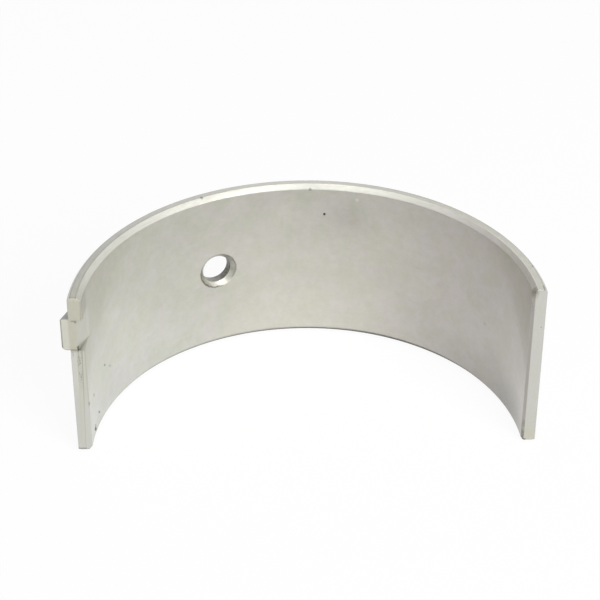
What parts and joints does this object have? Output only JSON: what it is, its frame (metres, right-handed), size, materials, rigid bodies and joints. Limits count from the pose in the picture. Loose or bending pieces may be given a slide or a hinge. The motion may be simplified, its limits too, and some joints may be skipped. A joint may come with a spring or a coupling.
{
  "type": "engine bearing shell",
  "caption": "Half-round plain bearing shell with chamfered rims, a pressed locating lug at the parting face and a countersunk oil hole; it lines a bearing housing round its journal.",
  "frame": {"origin": "on the bearing axis, at the end face that the shell stands on", "axes": "+Z along the bearing axis, +Y towards the crown of the shell, +X along the parting plane away from the locating lug"},
  "size_m": [0.0757, 0.0357, 0.0297],
  "materials": {
    "shell_metal": "satin"
  },
  "bodies": {
    "root": {"bearing_shell": "shell_metal"}
  },
  "joints": []
}
